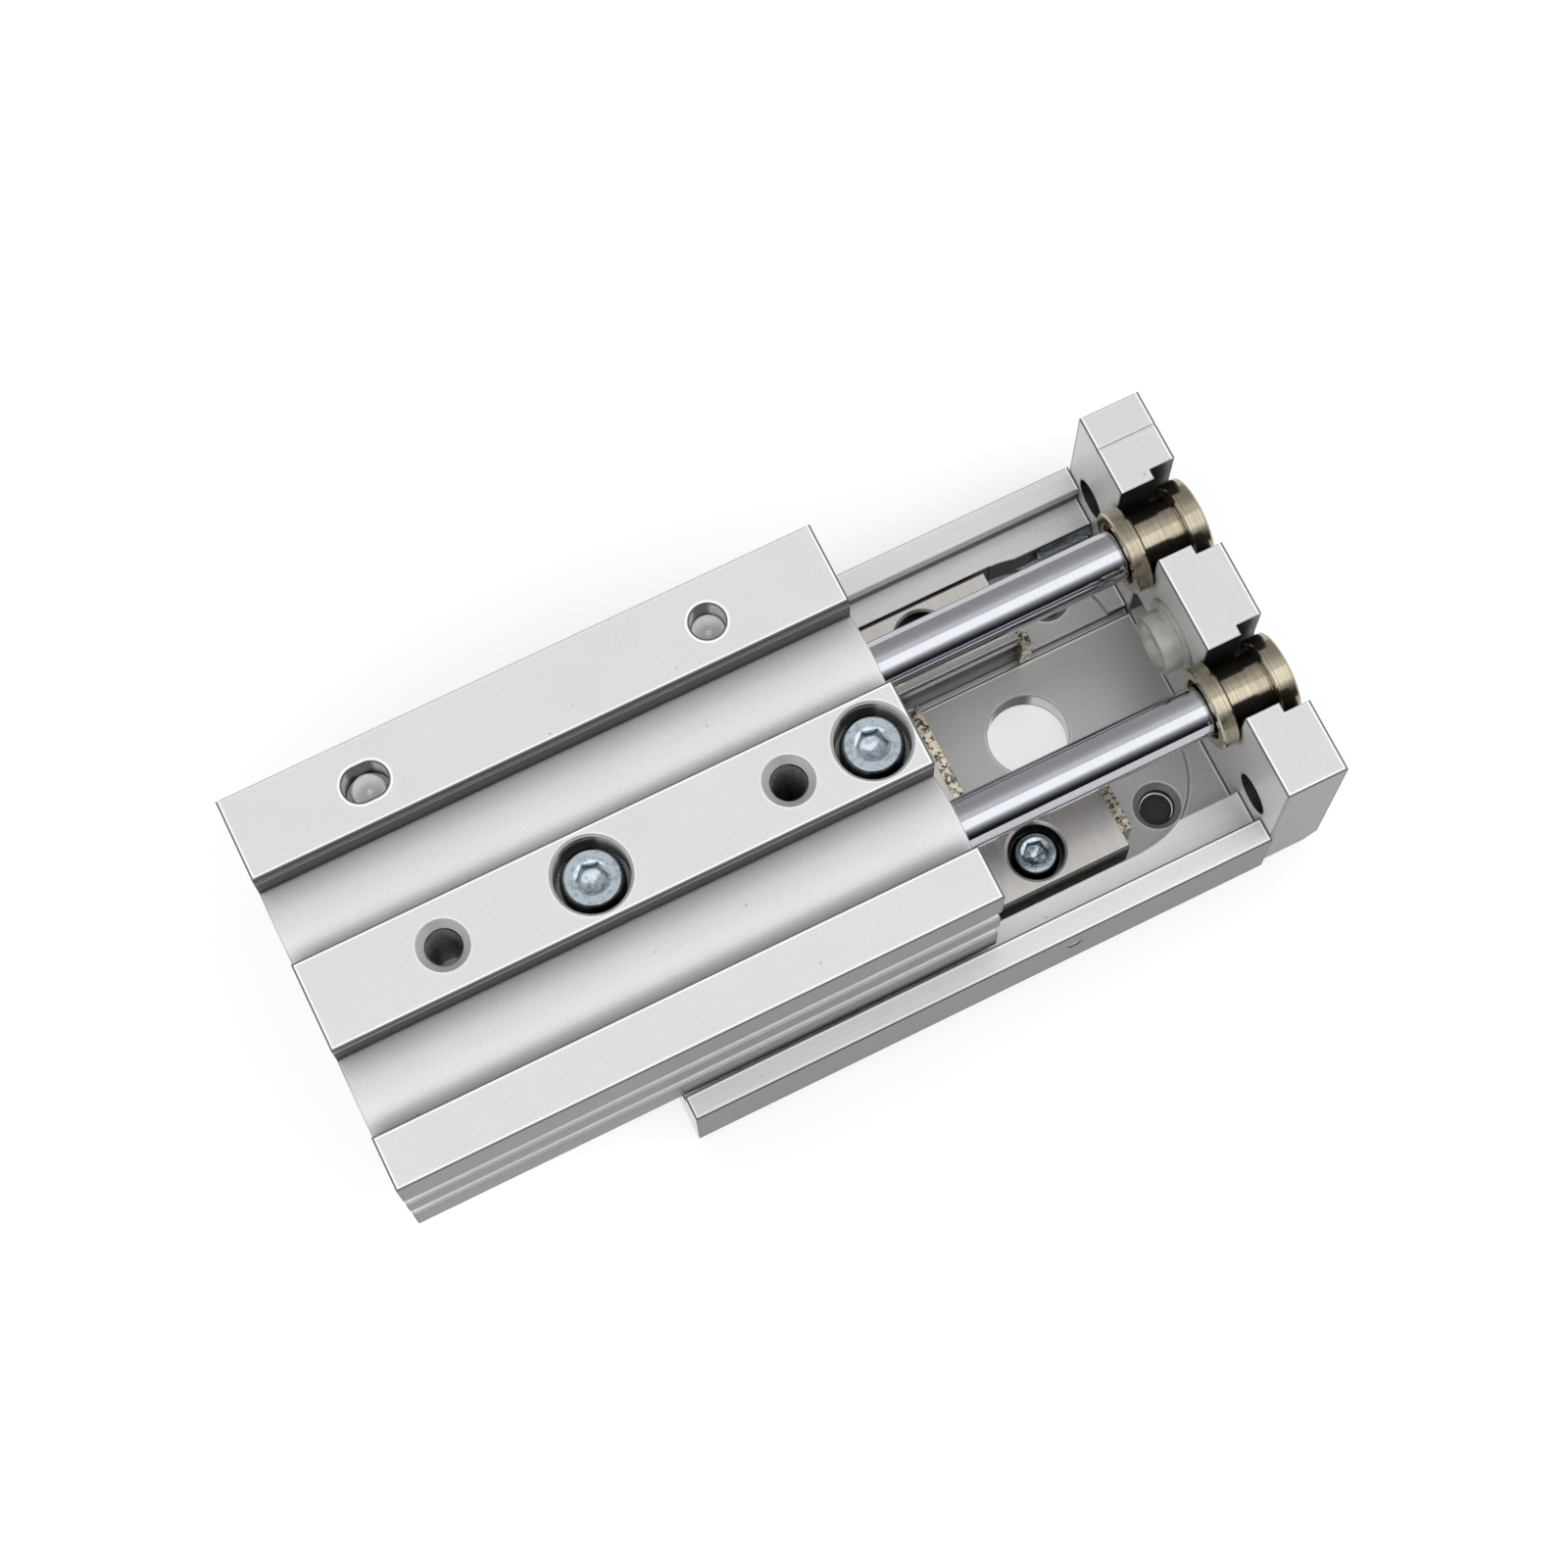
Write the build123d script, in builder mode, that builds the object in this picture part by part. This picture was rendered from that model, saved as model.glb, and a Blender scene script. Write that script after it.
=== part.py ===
from build123d import *
import os

os.makedirs("parts", exist_ok=True)

# Pneumatic slide table with two bores, shown at full extension. Sizes are in millimetres.
# +X points from the cylinder to the end plate, +Y to the port side and +Z up.
# The origin lies on the table's work face, below the rod end of the cylinder.

# Travel and clearances
stroke = 30.0
running_clearance = 0.05      # radial gap of a sliding fit
thread_clearance = 0.03       # radial gap between a screw and its hole
housing_clearance = 0.02      # radial gap around a piece that is held in the cylinder
side_gap = 0.35               # cylinder side to table wall
rail_top_gap = 0.5            # rail top to cylinder underside
wall_top_gap = 0.4            # table wall to the port side of the cylinder
closed_gap = 3.26             # cylinder end to end plate, fully retracted

# Slide table
table_length = 72.0
table_width = 50.0
wall_height = 11.1
wall_thickness = 2.95
ledge_height = 7.9
ledge_width = 2.95            # between the wall and the rail's gap
rail_seat_height = 3.0
floor_height = 3.5
floor_groove_width = 0.9      # from the raised floor to the rail
floor_groove_height = 2.4
near_ledge_step = 1.5         # ledge wider by this next to the end plate
far_ledge_step = 0.5
end_floor_height = 3.8
relief_radius = 10.6
relief_margin = 0.1           # relief to the ledge
relief_inset = 13.0           # relief centre to end plate
access_hole_diameter = 9.5
access_hole_inset = 17.56
side_hole_diameter = 2.0
side_hole_depth = 1.8
side_hole_inset = 24.7
side_hole_height = 6.9

# Work mounting holes of the table
work_thread_diameter = 4.2
work_thread_rim = 5.6
work_thread_pitch = 30.0
work_side_inset = 11.0        # from the table's side
work_thread_inset = 8.06
work_thread_rows = 3
work_pin_diameter = 4.0
work_pin_depth = 2.5
work_slot_length = 1.2        # between the arc centres of an oblong locating slot
work_pin_pitch = 50.0
work_pin_inset = 8.06

# Guide rails
rail_length = 50.0
rail_width = 9.3
rail_height = 7.0
rail_gap = 0.8                # rail to ledge
rail_end_inset = 14.5         # rail end to end plate
rail_chamfer = 0.3
rail_screw_pitch = 30.6
rail_screw_offset = 5.14      # screw line from the rail's inner face
rail_counterbore_diameter = 6.5
rail_counterbore_depth = 3.5
rail_counterbore_rim = 7.1
rail_thread_depth = 2.6
stopper_thickness = 1.35
rail_stopper_width = 8.3
rail_stopper_reach = 1.0      # stopper past the rail's inner face, in front of the cage
rail_stopper_height = 5.6
rail_stopper_drop = 0.5       # stopper top below rail top

# Guide block and races
block_length = 50.0
block_gap = 1.6               # block to rail, where the cages run
block_height = 6.2
block_screw_pitch = 33.4
block_screw_inset = 4.83      # cylinder end to the first screw
block_relief_diameter = 5.5
block_stopper_height = 5.6
block_stopper_lift = 0.3      # stopper above the block's lower face
race_height = 4.0             # race centre above the rail seat
race_relief_width = 0.5
race_relief_depth = 0.4
roller_diameter = 2.9
roller_length = 2.8
roller_pitch = 4.8
cage_end_gap = 0.35           # cage to the stopper, at full extension
cage_height = 5.4
cage_thickness = 0.7
cage_window_clearance = 0.06

# Cylinder body
body_length = 70.9
body_height = 21.5
bore_diameter = 12.0
bore_spread = 20.34
port_overhang = 3.05          # port side past the inner face of the table's wall
bore_height = 10.5            # bore axis above the cylinder's underside
groove_width = 9.9
groove_floor_radius = 8.0
lip_step_width = 0.25
lip_step_depth = 1.1
slot_mouth = 2.8
slot_diameter = 4.2
slot_wall = 0.83              # slot to bore: sensors sit near the magnets
slot_heights = (6.9, 13.4)    # slot centres above the cylinder's underside
slot_lip_chamfer = 0.35
body_thread_diameter = 4.2
body_thread_rim = 5.9
body_thread_pitch = 40.75
body_thread_inset = 14.85
counterbore_diameter = 8.5
counterbore_depth = 5.2
counterbore_rim = 9.1
locating_diameter = 4.0
locating_depth = 4.0
locating_inset = 5.1          # locating holes to the port side
port_diameter = 4.2
port_depth = 5.5
passage_diameter = 1.6
head_passage_inset = 10.5     # head end to the air passage
rod_passage_inset = 10.4      # rod end to the air passage
plug_diameter = 4.2
plug_length = 4.0
plug_socket = 2.0
plug_wall = 1.63              # plug to the retaining ring beside it
plug_sink = 0.4               # plug below the head end

# Pieces in the bores
rod_diameter = 6.0
rod_end_insert = 1.2          # rod end inside the bush
piston_length = 11.0
piston_gap = 3.4              # piston to gland, at full extension
seal_width = 1.8
seal_groove_depth = 1.2
rod_seal_width = 2.5
rod_seal_diameter = 9.0
piston_seal_inset = 5.0       # piston front to the seal's far side
magnet_width = 4.0
magnet_clearance = 0.1        # radial gap between magnet and bore
gland_length = 8.0
gland_recess = 0.4
cap_length = 6.0
cap_recess = 1.4
cap_dish_diameter = 6.0
cap_dish_depth = 1.0
ring_groove_depth = 0.5
ring_thickness = 0.8
ring_bore = 9.6
ring_opening = 3.0

# End plate and rod bushes
plate_thickness = 7.34
plate_side_step = 0.5         # plate narrower than the table on each side
plate_height = 27.1
plate_foot_gap = 0.2          # plate above the work face
plate_foot_chamfer = 1.5
plate_line_inset = 4.5        # shallow line on top of the plate, to its port side
plate_line_width = 0.35
plate_line_depth = 0.15
bush_slot_width = 8.7
bush_pocket_width = 11.1
bush_pocket_depth = 3.15
bush_flange_diameter = 10.0
bush_flange_thickness = 2.1
bush_play = 0.1               # flange to end plate
bush_neck_diameter = 7.4
bush_head_thickness = 2.4
bush_overhang = 0.2           # bush past the end plate's outer face
bush_bore = 7.2
bush_bore_depth = 1.4
adjuster_diameter = 5.0
adjuster_inset = 5.4          # from the table's side
adjuster_height = 13.2
block_recess_depth = 1.9      # room for the block's stopper when retracted
block_recess_clearance = 0.9
block_recess_headroom = 0.4
bumper_diameter = 7.3
bumper_length = 2.9
bumper_height = 16.5
bumper_socket_depth = 2.0
bumper_stem_diameter = 4.0
plate_screw_inset = 5.0       # from the table's side
plate_screw_height = 5.5
plate_screw_length = 10.0
plate_counterbore_depth = 4.4
plate_screw_depth = 8.0       # screw hole in the table
plate_thread_diameter = 3.3
plate_thread_depth = 5.5
plate_thread_height = 20.5

# Socket head screws: shank, head, head height, socket across flats, socket depth
m4_screw = (4.0, 7.0, 4.0, 3.0, 2.0)
m3_screw = (3.0, 5.5, 3.0, 2.5, 1.5)
block_screw_length = 20.0
rail_screw_length = 5.8
head_clearance = 0.5          # head diameter to its counterbore

# How near an edge's size and height must be when it is looked up
edge_tolerance = 0.01

# Places along X
body_head_x = -body_length
table_end_x = stroke + closed_gap
table_head_x = table_end_x - table_length
plate_outer_x = table_end_x + plate_thickness
rail_end_x = table_end_x - rail_end_inset
rail_head_x = rail_end_x - rail_length
rail_centre_x = rail_end_x - rail_length / 2
block_centre_x = -block_screw_inset - block_screw_pitch / 2
block_end_x = block_centre_x + block_length / 2
block_head_x = block_centre_x - block_length / 2
cage_length = block_end_x - rail_head_x - 2 * cage_end_gap
cage_centre_x = (block_end_x + rail_head_x) / 2
roller_count = int(cage_length / roller_pitch)
gland_inner_x = -gland_recess - gland_length
cap_inner_x = body_head_x + cap_recess + cap_length
ring_x = body_head_x + cap_recess - ring_thickness
piston_front_x = gland_inner_x - piston_gap
head_passage_x = body_head_x + head_passage_inset
body_thread_xs = (-body_thread_inset, -body_thread_inset - body_thread_pitch)
block_screw_xs = (-block_screw_inset, -block_screw_inset - block_screw_pitch)
rail_screw_xs = (rail_centre_x + rail_screw_pitch / 2, rail_centre_x - rail_screw_pitch / 2)
relief_x = table_end_x - relief_inset
work_thread_x = table_end_x - work_thread_inset
work_thread_xs = [work_thread_x - row * work_thread_pitch for row in range(work_thread_rows)]
bush_front_x = table_end_x - bush_play - bush_flange_thickness
bush_end_x = plate_outer_x + bush_overhang
bush_head_x = bush_end_x - bush_head_thickness
rod_end_x = bush_front_x + rod_end_insert
piston_rear_x = piston_front_x - piston_length
piston_seal_x = piston_front_x - piston_seal_inset
magnet_x = piston_rear_x - magnet_width

# Places across, measured from the centre plane
table_side_y = table_width / 2
wall_inner_y = table_side_y - wall_thickness
ledge_inner_y = wall_inner_y - ledge_width
rail_outer_y = ledge_inner_y - rail_gap
rail_inner_y = rail_outer_y - rail_width
rail_screw_y = rail_inner_y + rail_screw_offset
rail_stopper_y = rail_inner_y - rail_stopper_reach + rail_stopper_width / 2
block_side_y = rail_inner_y - block_gap
race_y = (rail_inner_y + block_side_y) / 2
floor_side_y = rail_inner_y - floor_groove_width
relief_y = ledge_inner_y - relief_margin - relief_radius
switch_side_y = wall_inner_y - side_gap
port_side_y = wall_inner_y + port_overhang
bore_y = bore_spread / 2
slot_y = bore_y + bore_diameter / 2 + slot_wall + slot_diameter / 2
locating_y = port_side_y - locating_inset
plug_y = bore_y + bore_diameter / 2 + ring_groove_depth + plug_wall + plug_diameter / 2
plate_side_y = table_side_y - plate_side_step
plate_screw_y = table_side_y - plate_screw_inset
adjuster_y = table_side_y - adjuster_inset
work_thread_y = table_side_y - work_side_inset

# Heights
rail_top_z = rail_seat_height + rail_height
race_z = rail_seat_height + race_height
body_bottom_z = rail_top_z + rail_top_gap
body_top_z = body_bottom_z + body_height
block_bottom_z = body_bottom_z - block_height
port_side_bottom_z = wall_height + wall_top_gap
bore_z = body_bottom_z + bore_height

block_stopper_z = block_bottom_z + block_stopper_lift
rail_stopper_z = rail_top_z - rail_stopper_drop - rail_stopper_height

# Sections: the square channel that two facing races form, the cage windows and the turned pieces
race_side = roller_diameter + 2 * running_clearance
cage_window_width = roller_diameter + 2 * cage_window_clearance
cage_window_height = (roller_diameter + roller_length) / 2**0.5 + 2 * cage_window_clearance
ring_groove_diameter = bore_diameter + 2 * ring_groove_depth
seal_groove_diameter = bore_diameter - 2 * seal_groove_depth
rod_hole_diameter = rod_diameter + 2 * thread_clearance


def extrude_disc(plane, centre, diameter, length, mode=Mode.ADD):
    """Add or cut a cylinder that starts on the plane and runs along its normal."""
    with BuildSketch(plane) as disc:
        with Locations(centre):
            Circle(diameter / 2)
    extrude(disc.sketch, amount=length, mode=mode)


def turn(x_start, x_end, diameter, mode=Mode.ADD):
    """Add or cut a cylinder on the axis of the port side's bore."""
    extrude_disc(Plane.YZ.offset(x_start), (bore_y, bore_z), diameter, x_end - x_start, mode)


def ring(x_start, x_end, outer, inner, mode=Mode.ADD):
    """Add or cut a ring on the axis of the port side's bore."""
    with BuildSketch(Plane.YZ.offset(x_start)) as annulus:
        with Locations((bore_y, bore_z)):
            Circle(outer / 2)
            Circle(inner / 2, mode=Mode.SUBTRACT)
    extrude(annulus.sketch, amount=x_end - x_start, mode=mode)


def cut_box(x_range, y_range, z_range):
    """Cut a box that is given by its limits."""
    centre = ((x_range[0] + x_range[1]) / 2, (y_range[0] + y_range[1]) / 2)
    with BuildSketch(Plane.XY.offset(z_range[0])) as outline:
        with Locations(centre):
            Rectangle(abs(x_range[1] - x_range[0]), abs(y_range[1] - y_range[0]))
    extrude(outline.sketch, amount=z_range[1] - z_range[0], mode=Mode.SUBTRACT)


def cut_races():
    """Cut the two V races and the relief at the bottom of each."""
    with BuildSketch(Plane.YZ.offset(body_head_x)) as races:
        with Locations((race_y, race_z), (-race_y, race_z)):
            Rectangle(race_side, race_side, rotation=45)
            Rectangle(race_side * 2**0.5 + 2 * race_relief_depth, race_relief_width)
    extrude(races.sketch, amount=table_end_x - body_head_x, mode=Mode.SUBTRACT)


def add_screw(plane, centre, screw, length):
    """Add a socket head screw whose head seats on the plane and whose shank runs against its normal."""
    shank, head, head_height, socket, socket_depth = screw
    extrude_disc(plane, centre, shank, -length)
    extrude_disc(plane, centre, head, head_height)
    with BuildSketch(plane.offset(head_height)) as hexagon:
        with Locations(centre):
            RegularPolygon(radius=socket / 2, side_count=6, major_radius=False)
    extrude(hexagon.sketch, amount=-socket_depth, mode=Mode.SUBTRACT)


def add_stopper(end_x, outward, y, width, z, height):
    """Add a strip that lies on an end face."""
    with BuildSketch(Plane.YZ.offset(end_x)) as strip:
        with Locations((y, z + height / 2)):
            Rectangle(width, height)
    extrude(strip.sketch, amount=outward * stopper_thickness)


def rims(part, diameter, height):
    """Find the round edges of one diameter at one height."""
    circles = part.edges().filter_by(GeomType.CIRCLE)
    sized = circles.filter_by(lambda edge: abs(edge.radius - diameter / 2) < edge_tolerance)
    return sized.filter_by(lambda edge: abs(edge.arc_center.Z - height) < edge_tolerance)


def save(builder, name):
    """Label a finished piece and write its file."""
    builder.part.label = name
    export_step(builder.part, f"parts/{name}.step")


# Cylinder body: one extrusion with the bores, the grooves above them and the sensor slots
with BuildPart() as cylinder_body:
    with BuildSketch(Plane.YZ) as section:
        with Locations((-switch_side_y, body_bottom_z)):
            Rectangle(2 * switch_side_y, body_height, align=(Align.MIN, Align.MIN))
        with Locations((0, port_side_bottom_z)):
            Rectangle(port_side_y, body_top_z - port_side_bottom_z, align=(Align.MIN, Align.MIN))
        for side in (1, -1):
            with Locations((side * bore_y, body_top_z)):
                Rectangle(groove_width, body_height - bore_height, align=(Align.CENTER, Align.MAX),
                          mode=Mode.SUBTRACT)
            with Locations((side * (bore_y + lip_step_width / 2), body_top_z)):
                Rectangle(groove_width + lip_step_width, lip_step_depth, align=(Align.CENTER, Align.MAX),
                          mode=Mode.SUBTRACT)
        with Locations((bore_y, bore_z), (-bore_y, bore_z)):
            Circle(groove_floor_radius)
            Circle(bore_diameter / 2, mode=Mode.SUBTRACT)
        for slot_height in slot_heights:
            with Locations((-switch_side_y, body_bottom_z + slot_height)):
                Rectangle(2 * (switch_side_y - slot_y), slot_mouth, mode=Mode.SUBTRACT)
                Rectangle(slot_mouth / 2**0.5 + slot_lip_chamfer, slot_mouth / 2**0.5 + slot_lip_chamfer,
                          rotation=45, mode=Mode.SUBTRACT)
            with Locations((-slot_y, body_bottom_z + slot_height)):
                Circle(slot_diameter / 2, mode=Mode.SUBTRACT)
    extrude(amount=-body_length)
    # Holes in the mounting face
    with Locations(*[(x, 0, body_top_z) for x in block_screw_xs]):
        CounterBoreHole(m4_screw[0] / 2 + thread_clearance, counterbore_diameter / 2, counterbore_depth)
    with Locations(*[(x, 0, body_top_z) for x in body_thread_xs]):
        Hole(body_thread_diameter / 2)
    with BuildSketch(Plane.XY.offset(body_top_z)):
        with Locations((body_thread_xs[0], locating_y)):
            Circle(locating_diameter / 2)
        with Locations((body_thread_xs[1], locating_y)):
            SlotCenterToCenter(work_slot_length, locating_diameter)
    extrude(amount=-locating_depth, mode=Mode.SUBTRACT)
    for diameter, rim in ((body_thread_diameter, body_thread_rim), (counterbore_diameter, counterbore_rim)):
        chamfer(rims(cylinder_body, diameter, body_top_z), (rim - diameter) / 2)
    # Air ports in the port side, each joined to both bores by a drilled passage
    for port_x in (head_passage_x, -rod_passage_inset):
        port_plane = Plane.XZ.offset(-port_side_y)
        extrude_disc(port_plane, (port_x, bore_z), port_diameter, port_depth, Mode.SUBTRACT)
        extrude_disc(port_plane, (port_x, bore_z), passage_diameter, port_side_y + bore_y, Mode.SUBTRACT)
    # Second pair of port threads in the head end, closed by plugs
    with BuildSketch(Plane.YZ.offset(body_head_x)):
        with Locations((plug_y, bore_z)):
            Circle(plug_diameter / 2)
    extrude(amount=plug_sink + plug_length, mode=Mode.SUBTRACT)
    # Grooves for the retaining rings
    for side in (1, -1):
        extrude_disc(Plane.YZ.offset(ring_x), (side * bore_y, bore_z), ring_groove_diameter, ring_thickness,
                     Mode.SUBTRACT)
save(cylinder_body, "cylinder_body")

# Head caps: discs that close the bores, each held by an open ring in a groove of the bore
with BuildPart() as head_caps:
    turn(body_head_x + cap_recess, cap_inner_x, bore_diameter - 2 * housing_clearance)
    turn(body_head_x + cap_recess, body_head_x + cap_recess + cap_dish_depth, cap_dish_diameter,
         Mode.SUBTRACT)
    mirror(about=Plane.XZ)
save(head_caps, "head_caps")

with BuildPart() as head_cap_rings:
    ring(ring_x, ring_x + ring_thickness, ring_groove_diameter - 2 * housing_clearance, ring_bore)
    cut_box((ring_x, ring_x + ring_thickness), (bore_y - ring_opening / 2, bore_y + ring_opening / 2),
            (bore_z - bore_diameter, bore_z))
    mirror(about=Plane.XZ)
save(head_cap_rings, "head_cap_rings")

# Rod glands: the rods slide in them, and each holds a rod seal at its inner end
with BuildPart() as rod_glands:
    turn(gland_inner_x, -gland_recess, bore_diameter - 2 * housing_clearance)
    turn(gland_inner_x, -gland_recess, rod_diameter + 2 * running_clearance, Mode.SUBTRACT)
    turn(gland_inner_x, gland_inner_x + rod_seal_width, rod_seal_diameter, Mode.SUBTRACT)
    mirror(about=Plane.XZ)
save(rod_glands, "rod_glands")

with BuildPart() as rod_seals:
    ring(gland_inner_x, gland_inner_x + rod_seal_width, rod_seal_diameter - 2 * housing_clearance,
         rod_diameter + 2 * running_clearance)
    mirror(about=Plane.XZ)
save(rod_seals, "rod_seals")

# Plug in the head end: closes the second port thread of the port side
with BuildPart() as passage_plug:
    plug_plane = Plane.YZ.offset(body_head_x + plug_sink)
    extrude_disc(plug_plane, (plug_y, bore_z), plug_diameter - 2 * thread_clearance, plug_length)
    with BuildSketch(plug_plane) as hexagon:
        with Locations((plug_y, bore_z)):
            RegularPolygon(radius=plug_socket / 2, side_count=6, major_radius=False)
    extrude(hexagon.sketch, amount=plug_length / 2, mode=Mode.SUBTRACT)
save(passage_plug, "passage_plug")

# Guide block: hangs from the cylinder and carries the inner races
with BuildPart() as guide_block:
    with BuildSketch(Plane.XY.offset(block_bottom_z)):
        with Locations((block_centre_x, 0)):
            Rectangle(block_length, 2 * block_side_y)
    extrude(amount=block_height)
    chamfer(guide_block.edges().filter_by(Axis.X), rail_chamfer)
    cut_races()
    with Locations(*[(x, 0, body_bottom_z) for x in block_screw_xs]):
        Hole(m4_screw[0] / 2 + thread_clearance)
    with Locations((body_thread_xs[0], 0, body_bottom_z)):
        Hole(block_relief_diameter / 2)
save(guide_block, "guide_block")

with BuildPart() as guide_block_screws:
    for x in block_screw_xs:
        add_screw(Plane.XY.offset(body_top_z - counterbore_depth), (x, 0), m4_screw, block_screw_length)
save(guide_block_screws, "guide_block_screws")

# Stoppers: strips on the ends of the block and the rails that keep the cages between them
with BuildPart() as guide_block_stoppers:
    for end_x, outward in ((block_end_x, 1), (block_head_x, -1)):
        add_stopper(end_x, outward, 0, 2 * (block_side_y - rail_chamfer), block_stopper_z,
                    block_stopper_height)
save(guide_block_stoppers, "guide_block_stoppers")

with BuildPart() as rail_stoppers:
    for side in (1, -1):
        for end_x, outward in ((rail_end_x, 1), (rail_head_x, -1)):
            add_stopper(end_x, outward, side * rail_stopper_y, rail_stopper_width, rail_stopper_z,
                        rail_stopper_height)
save(rail_stoppers, "rail_stoppers")

# Guide rails: sit on the table and carry the outer races
for side, name in ((-1, "rail_near"), (1, "rail_far")):
    with BuildPart() as rail:
        with BuildSketch(Plane.XY.offset(rail_seat_height)):
            with Locations((rail_centre_x, side * (rail_inner_y + rail_width / 2))):
                Rectangle(rail_length, rail_width)
        extrude(amount=rail_height)
        chamfer(rail.edges().filter_by(Axis.X), rail_chamfer)
        cut_races()
        with Locations(*[(x, side * rail_screw_y, rail_top_z) for x in rail_screw_xs]):
            CounterBoreHole(m3_screw[0] / 2 + thread_clearance, rail_counterbore_diameter / 2,
                            rail_counterbore_depth)
        chamfer(rims(rail, rail_counterbore_diameter, rail_top_z),
                (rail_counterbore_rim - rail_counterbore_diameter) / 2)
    save(rail, name)

with BuildPart() as rail_screws:
    for x in rail_screw_xs:
        for side in (1, -1):
            add_screw(Plane.XY.offset(rail_top_z - rail_counterbore_depth), (x, side * rail_screw_y),
                      m3_screw, rail_screw_length)
save(rail_screws, "rail_screws")

# Cages and crossed rollers: neighbouring rollers lie at right angles to each other
for side, name in ((-1, "near"), (1, "far")):
    with BuildPart() as cage:
        with BuildSketch(Plane.XZ.offset(-side * race_y)):
            with Locations((cage_centre_x, race_z)):
                Rectangle(cage_length, cage_height)
                with GridLocations(roller_pitch, 1, roller_count, 1):
                    Rectangle(cage_window_width, cage_window_height, mode=Mode.SUBTRACT)
        extrude(amount=cage_thickness / 2, both=True)
    save(cage, f"roller_cage_{name}")
    with BuildPart() as rollers:
        for index in range(roller_count):
            roller_x = cage_centre_x + (index - (roller_count - 1) / 2) * roller_pitch
            roller_plane = Plane(origin=(roller_x, side * race_y, race_z), x_dir=(1, 0, 0),
                                 z_dir=(0, 1, (-1) ** index))
            with BuildSketch(roller_plane) as roller_end:
                Circle(roller_diameter / 2)
            extrude(roller_end.sketch, amount=roller_length / 2, both=True)
    save(rollers, f"rollers_{name}")

# Slide table: a channel with ledges, rail seats and a raised floor between the rails
with BuildPart() as slide_table:
    with BuildSketch(Plane.XY):
        with Locations((table_head_x + table_length / 2, 0)):
            Rectangle(table_length, table_width)
    extrude(amount=wall_height)
    cut_box((table_head_x, table_end_x), (-wall_inner_y, wall_inner_y), (ledge_height, wall_height))
    cut_box((table_head_x, table_end_x), (-floor_side_y, floor_side_y), (floor_height, ledge_height))
    for side, ledge_step in ((1, far_ledge_step), (-1, near_ledge_step)):
        cut_box((table_head_x, relief_x), (side * floor_side_y, side * ledge_inner_y),
                (rail_seat_height, ledge_height))
        cut_box((relief_x, table_end_x), (side * floor_side_y, side * (ledge_inner_y - ledge_step)),
                (end_floor_height, ledge_height))
        cut_box((table_head_x, table_end_x),
                (side * floor_side_y, side * (floor_side_y + floor_groove_width)),
                (floor_groove_height, ledge_height))
        with BuildSketch(Plane.XY.offset(rail_seat_height)) as relief:
            with Locations((relief_x, side * relief_y)):
                Circle(relief_radius)
            with Locations((relief_x, 0)):
                Rectangle(2 * relief_radius, 2 * floor_side_y, mode=Mode.SUBTRACT)
        extrude(relief.sketch, amount=ledge_height - rail_seat_height, mode=Mode.SUBTRACT)
    # Holes for the work, for a driver and for the rails' screws
    for side in (1, -1):
        with Locations(*[(x, side * work_thread_y, wall_height) for x in work_thread_xs]):
            Hole(work_thread_diameter / 2)
    for height in (0, rail_seat_height):
        chamfer(rims(slide_table, work_thread_diameter, height),
                (work_thread_rim - work_thread_diameter) / 2)
    with Locations((table_end_x - access_hole_inset, 0, wall_height)):
        Hole(access_hole_diameter / 2)
    for x in rail_screw_xs:
        for side in (1, -1):
            extrude_disc(Plane.XY.offset(rail_seat_height), (x, side * rail_screw_y),
                         m3_screw[0] + 2 * thread_clearance, -rail_thread_depth, Mode.SUBTRACT)
    # Locating hole and oblong slot in the work face
    with BuildSketch(Plane.XY) as work_pins:
        with Locations((table_end_x - work_pin_inset, 0)):
            Circle(work_pin_diameter / 2)
        with Locations((table_end_x - work_pin_inset - work_pin_pitch, 0)):
            SlotCenterToCenter(work_slot_length, work_pin_diameter)
    extrude(work_pins.sketch, amount=work_pin_depth, mode=Mode.SUBTRACT)
    # Screw holes for the end plate, and the small hole in the near side
    for side in (1, -1):
        extrude_disc(Plane.YZ.offset(table_end_x), (side * plate_screw_y, plate_screw_height),
                     m4_screw[0] + 2 * thread_clearance, -plate_screw_depth, Mode.SUBTRACT)
    extrude_disc(Plane.XZ.offset(table_side_y), (table_end_x - side_hole_inset, side_hole_height),
                 side_hole_diameter, -side_hole_depth, Mode.SUBTRACT)
save(slide_table, "slide_table")

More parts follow.
